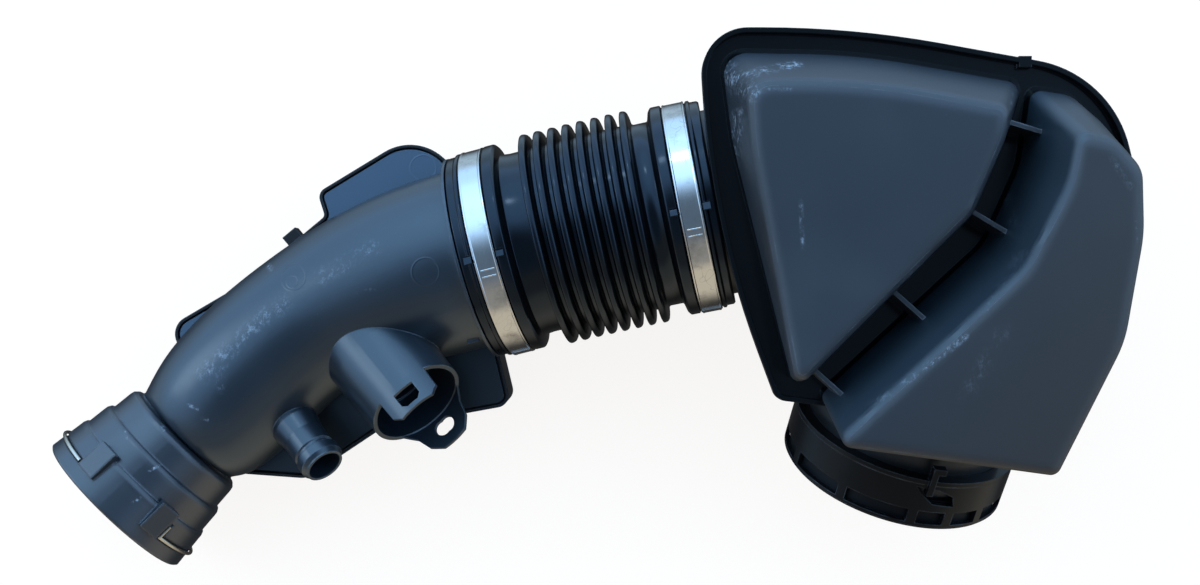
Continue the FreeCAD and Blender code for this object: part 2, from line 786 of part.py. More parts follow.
def inlet_locking_ring():
    """Ring round the inlet with a row of windows, a slanted latch slot and its tab."""
    inner = ring_radius - ring_wall
    neck_fit = inlet_neck_radius + seat_gap
    lip_start, lip_rise = ring_rear_lip
    band = ring_radius - lip_rise
    profile = [(0, inner), (0, ring_radius - ring_edge), (-ring_edge, band),
               (-ring_length + lip_start, band), (-ring_length + lip_start - lip_rise, ring_radius),
               (-ring_length, ring_radius), (-ring_length, neck_fit),
               (-ring_length + ring_floor, neck_fit), (-ring_length + ring_floor, inner)]
    ring = revolved(profile)
    reach = ring_radius + 5
    for index, tooth in enumerate(window_teeth):
        following = window_teeth[(index + 1) % len(window_teeth)]
        gap = (tooth - following) % 360
        cut = sector(reach, window_low, window_high, following + window_tooth / 2,
                     following + gap - window_tooth / 2)
        ring = ring.cut(cut)
    slot = flat_solid(latch_slot, inner - 3, reach)
    slot.rotate(Vec(0, 0, 0), UP, latch_turn)
    width, rise, length = latch_tab
    across, low = latch_tab_place
    tab = Part.makeBox(ring_wall + rise, width, length)
    tab.translate(Vec(inner, across - width / 2, low))
    ledge = Part.makeBox(ring_wall + rise, latch_ledge + width / 2, width)
    ledge.translate(Vec(inner, across - latch_ledge, low))
    tab = tab.fuse(ledge)
    tab.rotate(Vec(0, 0, 0), UP, latch_turn)
    return placed(ring.cut(slot).fuse(tab), seat(ring_mouth, inlet_direction))


def inlet_seal():
    """Rubber ring between the inlet neck and the locking ring."""
    inner = inlet_neck_radius + seat_gap
    outer = ring_radius - ring_wall - seat_gap
    low = inlet_seal_place - inlet_seal_width
    ring = revolved([(low, inner), (low, outer - inlet_seal_bevel / 2), (inlet_seal_place, outer),
                     (inlet_seal_place, outer - inlet_seal_bevel),
                     (inlet_seal_place - inlet_seal_bevel, inner)])
    return placed(ring, seat(ring_mouth, inlet_direction))


def build_parts():
    """All pieces by name."""
    return {
        "coupling_collar": coupling_collar(),
        "collar_seal": collar_seal(),
        "collar_wire_clip": collar_wire_clip(),
        "clean_air_pipe": clean_air_pipe(),
        "resonator_shell": resonator_shell(),
        "bellows_hose": bellows_hose(),
        "pipe_end_clamp": band_clamp(0.0),
        "chamber_end_clamp": band_clamp(band_spacing),
        "chamber_front_shell": chamber_front_shell(),
        "chamber_rear_shell": chamber_rear_shell(),
        "inlet_locking_ring": inlet_locking_ring(),
        "inlet_seal": inlet_seal(),
    }


def main():
    """Builds the pieces, moves the origin under the middle of the part and writes them."""
    os.makedirs("parts", exist_ok=True)
    pieces = build_parts()
    box = FreeCAD.BoundBox()
    for shape in pieces.values():
        box.add(shape.optimalBoundingBox(False, False))
    shift = Vec(-box.Center.x, -box.Center.y, -box.ZMin)
    for name, shape in pieces.items():
        moved = shape.copy()
        moved.translate(shift)
        moved.exportStep("parts/" + name + ".step")
        print(name, len(moved.Solids), round(moved.Volume), moved.isValid())
    print("moved by", shift, "size", box.XLength, box.YLength, box.ZLength)


main()
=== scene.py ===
import json
import math
import bmesh
import bpy
from bpy.props import FloatProperty, FloatVectorProperty, IntProperty, PointerProperty
from bpy.types import Operator, Panel, PropertyGroup
from mathutils import Matrix, Vector


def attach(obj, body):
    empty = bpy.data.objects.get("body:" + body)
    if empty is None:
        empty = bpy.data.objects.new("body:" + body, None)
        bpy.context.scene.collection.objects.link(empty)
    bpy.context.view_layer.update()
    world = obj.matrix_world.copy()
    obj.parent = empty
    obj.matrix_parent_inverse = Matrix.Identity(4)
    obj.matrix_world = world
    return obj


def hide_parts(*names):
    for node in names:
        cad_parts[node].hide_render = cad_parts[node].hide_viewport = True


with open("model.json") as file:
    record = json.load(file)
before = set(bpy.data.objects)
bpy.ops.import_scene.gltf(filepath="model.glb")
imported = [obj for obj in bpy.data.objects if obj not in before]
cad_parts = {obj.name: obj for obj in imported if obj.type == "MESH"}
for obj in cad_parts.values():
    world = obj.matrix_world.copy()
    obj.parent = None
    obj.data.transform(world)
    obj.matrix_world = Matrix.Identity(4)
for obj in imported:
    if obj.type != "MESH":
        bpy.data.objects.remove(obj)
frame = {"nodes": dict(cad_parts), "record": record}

bl_info = {
    "name": "Air intake hose looks",
    "version": (1, 0, 0),
    "blender": (4, 5, 0),
    "location": "View3D > Sidebar > Intake",
    "description": "Dresses an air intake hose with its moulded, rubber and steel surfaces",
    "category": "Object",
}

# Places and sizes in the code are millimetres in the row frame; scaled() turns them to metres.
MM = 0.001
UP = Vector((0, 0, 1))

# The point under the camera, from which the part's source counts
SHIFT = Vector((13.73, 7.71, 0))

# The hose's axis starts at the middle of the left band and bends a little
HOSE_START = Vector((-48.0, 19.8, 52.0)) + SHIFT
HOSE_HEADINGS = (14.2, 11.0)
HOSE_SLOPE = 5.3
BAND_SPACING = 94.3

# One pleat from valley to valley: place in the pitch, and height as a share of its depth
PLEAT = [(-0.50, 0.00), (-0.40, 0.00), (-0.35, 0.07), (-0.315, 0.30), (-0.285, 0.66),
         (-0.26, 0.88), (-0.225, 0.97), (-0.16, 1.00), (-0.06, 0.995), (0.05, 0.97), (0.14, 0.92),
         (0.21, 0.83), (0.26, 0.66), (0.30, 0.38), (0.34, 0.12), (0.39, 0.00)]

# Worn lines and painted highlights in plan: start, end, reach, amount
PIPE_MARKS = [((-168, -29), (-132, 3), 7.0, 0.34), ((-113, 15), (-90, 28), 6.0, 0.24),
              ((-97, 7), (-89, 9), 1.6, 0.5), ((-142, 20), (-140, 19), 2.0, 0.6),
              ((-160, -27), (-161, -36), 4.0, 0.20), ((-176, -44), (-171, -46), 1.2, 0.7),
              ((-170, -50), (-167, -51), 1.2, 0.7)]
COLLAR_MARKS = [((-190, -53), (-188, -56), 1.0, 0.6), ((-206, -56), (-204, -60), 1.0, 0.6),
                ((-193, -74), (-189, -72), 1.0, 0.7), ((-199, -88), (-196, -86), 1.0, 0.5)]
# In the chamber's lines, the chain along the right block's crest from (124, -37) to (194, 70), with the
# wide line from (160, -34) to (175, -8) beside it, is painted highlight; the other lines are scuffs
CHAMBER_SCUFFS_AND_HIGHLIGHTS = [((67, 108), (76, 90), 5.5, 0.55), ((76, 99), (98, 105), 3.5, 0.65),
                 ((72, 84), (72, 62), 3.0, 0.5), ((96, 45), (97, 26), 1.4, 0.35),
                 ((83, 91), (92, 91), 1.2, 0.35), ((124, -37), (160, -10), 2.2, 0.75),
                 ((166, -2), (186, 24), 1.8, 0.45), ((188, 36), (194, 70), 1.8, 0.55),
                 ((184, 84), (190, 92), 1.4, 0.7), ((218, 62), (226, 50), 2.2, 0.45),
                 ((160, -34), (175, -8), 5.0, 0.22), ((228, 36), (229, 28), 0.9, 0.9),
                 ((136, 8), (146, 20), 3.0, 0.2)]

# The four ribs across the channel in plan: both ends
RIB_LINES = [((177.7, 82.8), (208.3, 73.4)), ((164.0, 46.4), (191.4, 30.0)),
             ((132.4, 13.1), (156.4, -8.1)), ((98.1, -19.3), (121.9, -40.7))]

# Ejector marks in plan: middle and radius
EJECTOR_MARKS = [((-127.4, 14.7), 6.0), ((-127.8, 12.8), 2.8), ((-72.4, 68.3), 6.3),
                 ((-65.0, 17.0), 6.3)]

# Nodes that take another finish than their slot's
OWN_FINISHES = {"coupling_collar": "collar_plastic"}

# Masks by place: direction, and the two places along it where the rise starts and ends
# The next two masks place the painted shade and the painted sky sheen on the pipe's plate
PLATE = ((0, 0, 1), (44.5, 42.5))
PLATE_SHEEN_SIDE = ((-0.55, 0.83, 0), (40, 70))
# Below this height the chamber turns glossy, and its black there is painted shade
GROOVE_SHADE_HEIGHT = ((0, 0, 1), (118.5, 116.6))
LIP = ((0, 0, 1), (122.5, 120.6))
# Where the chamber by the inlet takes a painted warm reflection
INLET_REFLECTION_SIDE = ((0.85, -0.53, 0), (85, 200))
# Where the channel's far slope takes a painted sky reflection
SLOPE_REFLECTION_SIDE = ((0.81, -0.59, 0), (95, 105))

# Masks by the way that a surface faces: direction, and the two cosines to it
# The level top of the pipe's plate, which takes its painted shade and sheen
LEVEL = ((0, 0, 1), (0.93, 0.99))
# The way the channel's far slope faces, for its painted sky reflection
SLOPE_REFLECTION_FACING = ((-0.81, 0.59, 0), (0.2, 0.6))

# A cuff's form: half the seat under a band, its corners' rounding, its neck's ends at both sides
SEAT_HALF = 5.4
CUFF_ROUNDING = 0.55
LEFT_SHOULDER = 16.4
RIGHT_SHOULDER = 13.2

# The inside of the hose: wall at the necks, ends of the wide bore and of both slopes
HOSE_WALL = 2.9
BORE_END = 11.5
LEFT_SLOPE_END = 17.4
RIGHT_SLOPE_END = 13.8

# The locating blocks beside the bands: distance, turn in degrees, size, slope and rounding
BLOCK_DISTANCE = 7.5
BLOCK_TURN = 3.0
BLOCK_SIZE = (2.6, 3.4, 3.0)
BLOCK_FALL = 1.7
BLOCK_ROUNDING = 0.35

# Pressed marks on the bands: angles from the top and spacing in degrees, half length, rise, sink
MARK_ANGLES = {"pipe_end_clamp": 10.2, "chamber_end_clamp": 13.6}
MARK_SPACING = 3.6
MARK_HALF_LENGTH = 3.2
MARK_RISE = 0.16
MARK_SINK = 0.05

# The moulded grain: depths of its parts in one height pattern, width of the ejector marks' lines
FINE_DEPTH = 0.22
WAVE_DEPTH = 1.1
EJECTOR_DEPTH = 16.0
EJECTOR_WIDTH = 0.6

# Strength of the worn lines and the painted highlights among them, then the small rounding by the ribs
# and its reach from them
MARK_STRENGTH = 1.2
CRISP_ROUNDING = 0.5
CRISP_REACH = 5.0

# Sections round a band, and in its lap
BAND_STEPS = 180
LAP_STEPS = 40

# The lap and the ear: how much narrower than the strip at each side, rolled edge and rounding
LAP_INSET = 0.6
LAP_ROLLED = 0.1
EAR_INSET = 0.8
EAR_ROUNDING = 1.2

# Soft lights behind and left of the object: name, place, width, height, watts, colour
LAMPS = [
    ("window", (-380, 1450, 1080), 300, 160, 1.1, (0.78, 0.90, 1.0)),
    ("side_strip", (-1500, 500, 760), 520, 800, 3.4, (0.75, 0.88, 1.0)),
]

# Directions of the sky's bright patch and of its dark one
GLOW_WAY = (-0.3, 0.78, 0.55)
OVERHEAD_WAY = (0.04, -0.14, 1.0)

# Where the parts of the surroundings fade into each other
SKY_RISE = (-0.60, 0.12)
GLOW_RISE = (0.80, 1.0)
OVERHEAD_RISE = (0.78, 0.97)
GROUND_RISE = (-0.55, -0.15)
BELOW_RISE = (-0.25, -0.75)
BEHIND_RISE = (0.35, 0.75)
HORIZON_RISE = (-0.14, 0.14)
HORIZON_TILT = 0.4


def scaled(vector):
    """Metres from millimetres."""
    return Vector(vector) * MM


def tint(red, green, blue):
    """Opaque colour."""
    return (red, green, blue, 1.0)


# Properties

def length(name, description, millimetres):
    """Property for a length, with its default in millimetres."""
    return FloatProperty(name=name, description=description, default=millimetres * MM, min=0.0,
                         precision=5, unit="LENGTH", subtype="DISTANCE")


def colour(name, description, default):
    """Property for a linear colour, which may be brighter than white for light."""
    return FloatVectorProperty(name=name, description=description, default=default, min=0.0,
                               size=3, subtype="COLOR")


def share(name, description, default):
    """Property for a part of one."""
    return FloatProperty(name=name, description=description, default=default, min=0.0, max=1.0,
                         subtype="FACTOR")


class IntakeHoseSizes(PropertyGroup):
    """Sizes of the bellows hose."""

    cuff: length("Cuff radius", "Outside radius of both cuffs", 48.5)
    edge_bead: length("Edge bead radius", "Radius of the low bead outside each band", 49.4)
    bead: length("Bead radius", "Radius of the high bead inside each band", 49.8)
    neck: length("Neck radius", "Radius between a cuff and the pleats", 43.6)
    crest: length("Crest radius", "Radius of the pleats' crests", 50.9)
    valley: length("Valley radius", "Radius of the valleys between the pleats", 44.2)
    bore: length("Bore radius", "Inside radius of both cuffs", 43.85)
    pitch: length("Pleat pitch", "Distance from crest to crest", 6.66)
    first: length("First crest", "First crest's distance from the left band", 25.0)
    overhang: length("Overhang", "Length of a cuff outside its band's middle", 11.8)
    pleats: IntProperty(name="Pleats", description="Number of pleats", default=8, min=1)
    segments: IntProperty(name="Segments", description="Faces round the hose", default=180, min=24)


class IntakeBandSizes(PropertyGroup):
    """Sizes of both band clamps."""

    radius: length("Inside radius", "Radius of the strip's inside", 48.65)
    width: length("Width", "Width of the strip", 10.0)
    thickness: length("Thickness", "Thickness of the strip", 0.8)
    rolled: length("Rolled edge", "Rise of the strip's rolled edges", 0.22)
    ear_height: length("Ear height", "Height of the squeezed ear over the strip", 3.4)
    ear_width: length("Ear width", "Length of the ear round the hose", 7.0)
    ear_angle: FloatProperty(name="Ear angle", description="Place of the ear, from the top",
                             default=math.radians(138.0), subtype="ANGLE", unit="ROTATION")
    lap_angle: FloatProperty(name="Lap", description="How far the strip laps over itself",
                             default=math.radians(62.0), subtype="ANGLE", unit="ROTATION")


class IntakeFinishes(PropertyGroup):
    """Colours of the plastics, the rubber and the steel, and of the painted shade, sheen and reflections
    on them.
    """

    pipe: colour("Pipe", "Satin plastic of the pipe and the collar", (0.009, 0.0135, 0.019))
    chamber: colour("Chamber", "Satin plastic of the chamber's front", (0.010, 0.0145, 0.020))
    box: colour("Box", "Black plastic of the shells that face down", (0.004, 0.004, 0.0042))
    rubber: colour("Rubber", "Black rubber of the hose", (0.0015, 0.0020, 0.0026))
    steel: colour("Band steel", "Rolled steel of both bands", (0.58, 0.56, 0.53))
    wire: colour("Wire steel", "Spring steel of the wire clip", (0.55, 0.50, 0.42))
    # Dust and scuffs, and also the colour of the painted crest highlights
    dust_and_highlight: colour("Dust", "Pale dust and scuffs", (0.46, 0.52, 0.58))
    # Painted shade on the plate's near side, and a painted sky sheen on its far side
    plate: colour("Plate", "Dark near side of the resonator's plate", (0.002, 0.002, 0.002))
    plate_sheen: colour("Plate film", "Pale film on the plate's far side", (0.070, 0.106, 0.146))
    # Painted warm reflection on the chamber by the inlet
    inlet_reflection: colour("Inlet side", "Warmer tone of the chamber by the inlet", (0.019, 0.0125, 0.008))
    # Painted sky reflection on the channel's far slope
    slope: colour("Channel slope", "Bluer tone of the channel's far slope", (0.014, 0.030, 0.042))
    # Black that stands for painted shade in the glossy groove and on the channel's floor
    groove: colour("Groove", "Gloss black of the groove and the channel", (0.0020, 0.0025, 0.0030))
    dull_steel: colour("Dull steel", "Dull patches on the steel", (0.17, 0.155, 0.135))
    # Strength of the dust, scuffs, scratches and painted crest highlights
    wear_and_highlights: share("Wear", "Strength of dust, scuffs and scratches", 1.0)


class IntakeStudio(PropertyGroup):
    """Light, floor and camera."""

    sky: colour("Sky", "Blue light from above", (0.85, 1.42, 2.25))
    glow: colour("Glow", "Bright patch of the sky", (1.15, 2.05, 3.2))
    overhead: colour("Overhead", "Dark patch of the sky straight above", (0.12, 0.19, 0.29))
    room: colour("Room", "Dim side in front of the object", (0.36, 0.37, 0.37))
    ground_front: colour("Ground in front", "Ground seen in the near sides", (0.78, 0.73, 0.61))
    ground_back: colour("Ground behind", "Ground seen in the far sides", (0.60, 0.85, 1.10))
    ground_below: colour("Ground below", "Dark straight below", (0.05, 0.05, 0.05))
    floor: share("Floor glow", "Light that the floor gives itself", 0.88)
    floor_glow: colour("Floor glow colour", "Colour of the floor's own light", (1.0, 0.99, 0.98))
    floor_light: colour("Floor", "Floor in its lighter patches", (0.21, 0.16, 0.12))
    floor_dark: colour("Floor, darker", "Floor in its darker patches", (0.20, 0.15, 0.11))
    height: length("Camera height", "Height of the camera over the floor", 769.0)
    lens: FloatProperty(name="Lens", description="Focal length", default=45.0, min=1.0,
                        unit="CAMERA")


# Shader maths

class Value:
    """A number, colour or vector inside a material, with arithmetic."""

    def __init__(self, shade, socket):
        self.shade = shade
        self.socket = socket

    def _math(self, operation, first, second):
        return self.shade.node("ShaderNodeMath", {0: first, 1: second}, operation=operation)

    def __add__(self, other):
        return self._math("ADD", self, other)

    def __radd__(self, other):
        return self._math("ADD", other, self)

    def __sub__(self, other):
        return self._math("SUBTRACT", self, other)

    def __rsub__(self, other):
        return self._math("SUBTRACT", other, self)

    def __mul__(self, other):
        return self._math("MULTIPLY", self, other)

    def __rmul__(self, other):
        return self._math("MULTIPLY", other, self)


class Shade:
    """One material, or the world, and the nodes that make it."""

    def __init__(self, name, world=False):
        group = bpy.data.worlds if world else bpy.data.materials
        self.made = group.get(name) or group.new(name)
        self.made.use_nodes = True
        self.tree = self.made.node_tree
        self.tree.nodes.clear()
        output = "ShaderNodeOutputWorld" if world else "ShaderNodeOutputMaterial"
        surface = "ShaderNodeBackground" if world else "ShaderNodeBsdfPrincipled"
        self.output = self.tree.nodes.new(output)
        self.surface = self.tree.nodes.new(surface)
        self.tree.links.new(self.surface.outputs[0], self.output.inputs["Surface"])

    def plug(self, socket, value):
        """Links a value to a socket, or sets it as a constant."""
        if isinstance(value, Value):
            self.tree.links.new(value.socket, socket)
        else:
            socket.default_value = value

    def node(self, kind, inputs=None, output=0, **settings):
        """A node of any kind, as the value of one of its outputs."""
        made = self.tree.nodes.new(kind)
        for key, setting in settings.items():
            setattr(made, key, setting)
        for key, value in (inputs or {}).items():
            self.plug(made.inputs[key], value)
        return Value(self, made.outputs[output])

    def vector(self, operation, first, second, output=0):
        """Vector maths of two vectors."""
        return self.node("ShaderNodeVectorMath", {0: first, 1: second}, output, operation=operation)

    def dot(self, first, second):
        """Dot product."""
        second = tuple(second) if isinstance(second, Vector) else second
        return self.vector("DOT_PRODUCT", first, second, "Value")

    def geometry(self, output):
        """One of the surface's own values, such as its normal."""
        return self.node("ShaderNodeNewGeometry", output=output)

    def place(self):
        """The point on the surface, in metres in the row frame."""
        return self.node("ShaderNodeTexCoord", output="Object")

    def clamp(self, value):
        """Value held between 0 and 1."""
        return self.node("ShaderNodeClamp", {"Value": value})

    def noise(self, scale, detail, roughness=0.55, stretch=(1, 1, 1)):
        """Cloudy pattern from 0 to 1."""
        point = self.vector("MULTIPLY", self.place(), stretch)
        return self.node("ShaderNodeTexNoise", {"Vector": point, "Scale": scale, "Detail": detail,
                                                "Roughness": roughness})

    def step(self, value, low, high):
        """Smooth rise from 0 at low to 1 at high."""
        return self.node("ShaderNodeMapRange", {"Value": value, "From Min": low, "From Max": high},
                         interpolation_type="SMOOTHSTEP")

    def along(self, way, rise):
        """Mask that rises with the place along a direction."""
        start, end = rise
        return self.step(self.dot(self.place(), way), start * MM, end * MM)

    def facing(self, way, rise):
        """Mask that rises as the surface turns to a direction."""
        return self.step(self.dot(self.geometry("Normal"), way), *rise)

    def mix(self, first, second, factor):
        """Blend of two colours."""
        return self.node("ShaderNodeMix", {0: factor, 6: first, 7: second}, 2, data_type="RGBA")

    def blend(self, first, second, factor):
        """Blend of two vectors."""
        return self.node("ShaderNodeMix", {0: factor, 4: first, 5: second}, 1, data_type="VECTOR")

    def flat(self):
        """The point in plan."""
        return self.vector("MULTIPLY", self.place(), (1, 1, 0))

    def near_line(self, start, end, reach):
        """Mask that is 1 on a line between two points in plan and fades out at a reach."""
        first = scaled((start[0], start[1], 0))
        line = scaled((end[0], end[1], 0)) - first
        offset = self.vector("SUBTRACT", self.flat(), tuple(first))
        along = self.clamp(self.dot(offset, line / line.length_squared))
        nearest = self.node("ShaderNodeVectorMath", {0: tuple(line), "Scale": along}, operation="SCALE")
        gap = self.vector("DISTANCE", offset, nearest, "Value")
        return self.step(gap, reach * MM, 0.0)

    def ring_mark(self, centre, radius, width):
        """Mask of a thin ring in plan round a point."""
        gap = self.vector("DISTANCE", self.flat(), tuple(scaled((centre[0], centre[1], 0))), "Value")
        off = self.node("ShaderNodeMath", {0: gap - radius * MM}, operation="ABSOLUTE")
        return self.step(off, width * MM, 0.0)

    def hairs(self, scale, width, low, high):
        """Thin curved scratches, where a second pattern lets them show."""
        bend = self.noise(scale, detail=1.0, roughness=0.4, stretch=(1.0, 0.45, 1.0))
        line = self.node("ShaderNodeMath", {0: bend - 0.5}, operation="ABSOLUTE")
        return self.step(line, width, 0.0) * self.step(self.noise(26.0, detail=2.0), low, high)

    def rounded(self, radius):
        """Normal of edges rounded by a radius in millimetres."""
        return self.node("ShaderNodeBevel", {"Radius": radius * MM}, samples=4)

    def bump(self, height, strength, distance, normal):
        """Normal bent by a height pattern."""
        return self.node("ShaderNodeBump", {"Height": height, "Strength": strength,
                                            "Distance": distance * MM, "Normal": normal})

    def finish(self, base, roughness, normal=None, fixed=None):
        """Plugs the surface's values in and returns the material."""
        self.plug(self.surface.inputs["Base Color"], base)
        self.plug(self.surface.inputs["Roughness"], roughness)
        if normal is not None:
            self.plug(self.surface.inputs["Normal"], normal)
        for key, value in (fixed or {}).items():
            self.surface.inputs[key].default_value = value
        return self.made

    def cover(self, factor, values):
        """Shows a second surface where a mask is 1."""
        second = self.tree.nodes.new("ShaderNodeBsdfPrincipled")
        for key, value in values.items():
            self.plug(second.inputs[key], value)
        mixed = self.node("ShaderNodeMixShader", {0: factor, 1: Value(self, self.surface.outputs[0]),
                                                  2: Value(self, second.outputs[0])})
        self.plug(self.output.inputs["Surface"], mixed)


# Materials

def moulded(name, base, finishes, roughness, rounding, specular, dusty, marks=(), rings=(), edges=0.0,
            crisp=()):
    """Satin moulding with grain, slow waves, dusty clouds and specks, scratches, scuffed lines and
    lighter edges; on the chamber some lines and the crest edges are painted highlights.

    Along crisp lines, and with them up to the lip's height, corners stay sharp.
    """
    shade = Shade(name)
    wear_and_highlights = finishes.wear_and_highlights
    fine = shade.noise(820.0, detail=3.0, roughness=0.7)
    waves = shade.noise(34.0, detail=2.0, roughness=0.5)
    clouds = shade.step(shade.noise(8.0, detail=3.0, roughness=0.6), 0.42, 0.78)
    specks = shade.step(shade.noise(760.0, detail=2.0, roughness=0.8), 0.66, 0.78)
    scratches = shade.hairs(70.0, width=0.0016, low=0.58, high=0.66)
    worn_and_highlit = (clouds * dusty + specks * dusty + scratches * dusty) * wear_and_highlights
    crumbs = shade.noise(520.0, detail=5.0, roughness=0.85, stretch=(1.0, 0.7, 1.0))
    islands = shade.noise(150.0, detail=3.0, roughness=0.6)
    broken = shade.step(crumbs, 0.46, 0.68) * shade.step(islands, 0.36, 0.60)
    # Lighter along sharp edges: edge wear, and on the chamber's crests also a painted highlight
    if edges:
        turn = 1.0 - shade.dot(shade.rounded(0.9), shade.geometry("Normal"))
        patchy = shade.step(shade.noise(60.0, detail=4.0, roughness=0.7), 0.40, 0.66)
        worn_and_highlit = worn_and_highlit + shade.step(turn, 0.015, 0.10) * patchy * (edges * wear_and_highlights)
    # Worn lines, among them the chamber's painted crest highlights
    for start, end, reach, amount in marks:
        line = shade.near_line(start, end, reach) * broken
        worn_and_highlit = worn_and_highlit + line * (amount * MARK_STRENGTH * wear_and_highlights)
    worn_and_highlit = shade.clamp(worn_and_highlit)
    colours = shade.mix(tint(*base), tint(*finishes.dust_and_highlight), worn_and_highlit)
    rough = roughness + worn_and_highlit * 0.3 + (waves - 0.5) * 0.06 + (fine - 0.5) * 0.05
    height = fine * FINE_DEPTH + waves * WAVE_DEPTH
    for centre, radius in rings:
        height = height + shade.ring_mark(centre, radius, EJECTOR_WIDTH) * EJECTOR_DEPTH
    corners = shade.rounded(rounding)
    if crisp:
        corners = shade.blend(corners, shade.rounded(CRISP_ROUNDING), shade.along(*LIP))
    for start, end in crisp:
        line = shade.near_line(start, end, CRISP_REACH)
        corners = shade.blend(corners, shade.rounded(CRISP_ROUNDING), line)
    normal = shade.bump(height, strength=0.10, distance=0.35, normal=corners)
    return shade, colours, rough, normal, {"Specular IOR Level": specular}


def pipe_plastic(finishes):
    """Dark satin plastic with scuffs along the ridge, faint ejector marks, painted shade on the plate's
    near side and a painted sky sheen on its far side.
    """
    shade, colours, rough, normal, fixed = moulded(
        "pipe_plastic", finishes.pipe, finishes, roughness=0.30, rounding=0.7, specular=0.82,
        dusty=0.045, marks=PIPE_MARKS, rings=EJECTOR_MARKS, edges=0.25)
    fixed["Specular Tint"] = tint(0.80, 0.92, 1.0)
    # Painted shade on the plate's near side, fading into a painted sky sheen on its far side
    plate = shade.mix(tint(*finishes.plate), tint(*finishes.plate_sheen), shade.along(*PLATE_SHEEN_SIDE))
    on_plate = shade.along(*PLATE) * shade.facing(*LEVEL)
    return shade.finish(shade.mix(colours, plate, on_plate * 0.9), rough, normal, fixed)


def collar_plastic(finishes):
    """The pipe's plastic with the softly rounded steps of the collar."""
    shade, *values = moulded(
        "collar_plastic", finishes.pipe, finishes, roughness=0.30, rounding=1.6, specular=0.90,
        dusty=0.03, marks=COLLAR_MARKS, edges=0.2)
    return shade.finish(*values)


def chamber_plastic(finishes):
    """Charcoal satin plastic; gloss with painted shade for black in the groove and channel floor,
    painted reflections on the inlet side and far slope.
    """
    # The chamber's lines and its strong lighter edges include painted highlights along its crests
    shade, colours, rough, normal, fixed = moulded(
        "chamber_plastic", finishes.chamber, finishes, roughness=0.44, rounding=5.0, specular=0.75,
        dusty=0.045, marks=CHAMBER_SCUFFS_AND_HIGHLIGHTS, edges=0.6, crisp=RIB_LINES)
    # Painted warm reflection on the chamber by the inlet
    colours = shade.mix(colours, tint(*finishes.inlet_reflection), shade.along(*INLET_REFLECTION_SIDE) * 0.9)
    # Painted sky reflection on the channel's far slope
    slope = shade.along(*SLOPE_REFLECTION_SIDE) * shade.facing(*SLOPE_REFLECTION_FACING)
    colours = shade.mix(colours, tint(*finishes.slope), slope * 0.6)
    # Glossier surface in the groove and on the channel's floor, whose black colour is painted shade
    shade.cover(shade.along(*GROOVE_SHADE_HEIGHT), {"Base Color": tint(*finishes.groove), "Roughness": 0.14,
                                       "Specular IOR Level": 0.30, "Normal": shade.rounded(0.6)})
    return shade.finish(colours, rough, normal, fixed)


def box_plastic(finishes):
    """Black plastic of the shells that face down."""
    shade, *values = moulded("box_plastic", finishes.box, finishes, roughness=0.38, rounding=0.8,
                             specular=0.45, dusty=0.02, edges=0.12)
    return shade.finish(*values)


def ring_plastic(finishes):
    """Half gloss black plastic of the inlet ring."""
    shade, *values = moulded("ring_plastic", finishes.box, finishes, roughness=0.20, rounding=0.4,
                             specular=0.14, dusty=0.008, edges=0.12)
    return shade.finish(*values)


def hose_rubber(finishes):
    """Glossy black rubber with a faint bloom."""
    shade, colours, rough, normal, fixed = moulded(
        "hose_rubber", finishes.rubber, finishes, roughness=0.15, rounding=0.3, specular=0.38,
        dusty=0.006)
    fixed["Specular Tint"] = tint(0.64, 0.80, 1.0)
    return shade.finish(colours, rough, normal, fixed)


def seal_rubber(finishes):
    """Dull black rubber."""
    shade, *values = moulded("seal_rubber", finishes.rubber, finishes, roughness=0.5, rounding=0.3,
                             specular=0.15, dusty=0.006)
    return shade.finish(*values)


def steel(name, base, finishes, stretch, roughness, rounding):
    """Rolled steel with fine lines along one direction, dull patches and small scratches."""
    shade = Shade(name)
    lines = shade.noise(520.0, detail=4.0, roughness=0.7, stretch=stretch)
    patches = shade.noise(70.0, detail=4.0, roughness=0.65)
    dull = shade.step(patches, 0.5, 0.8)
    scratches = shade.hairs(150.0, width=0.010, low=0.42, high=0.6)
    tarnish = shade.clamp(dull * 0.55 + scratches * 0.35)
    colours = shade.mix(tint(*base), tint(*finishes.dull_steel), tarnish)
    rough = roughness + (lines - 0.5) * 0.16 + dull * 0.14
    normal = shade.bump(lines * 0.6 + patches * 0.8, strength=0.22, distance=0.05,
                        normal=shade.rounded(rounding))
    return shade.finish(colours, rough, normal, {"Metallic": 1.0})


def band_steel(finishes):
    """Bright rolled steel of both bands, with its lines round the hose."""
    return steel("band_steel", finishes.steel, finishes, stretch=(1.0, 0.10, 0.10), roughness=0.16,
                 rounding=0.15)


def spring_steel(finishes):
    """Drawn steel of the wire clip."""
    return steel("spring_steel", finishes.wire, finishes, stretch=(1.0, 1.0, 1.0), roughness=0.26,
                 rounding=0.1)


FINISHES = (pipe_plastic, collar_plastic, chamber_plastic, box_plastic, ring_plastic, hose_rubber,
            seal_rubber, band_steel, spring_steel)


def floor_finish(studio):
    """White floor that glows, so that it stays as pale as the photograph's."""
    shade = Shade("floor")
    mottle = shade.noise(3.0, detail=2.0, roughness=0.5)
    base = shade.mix(tint(*studio.floor_light), tint(*studio.floor_dark), mottle)
    fixed = {"Emission Color": tint(*studio.floor_glow), "Emission Strength": studio.floor}
    return shade.finish(base, 0.9, None, fixed)


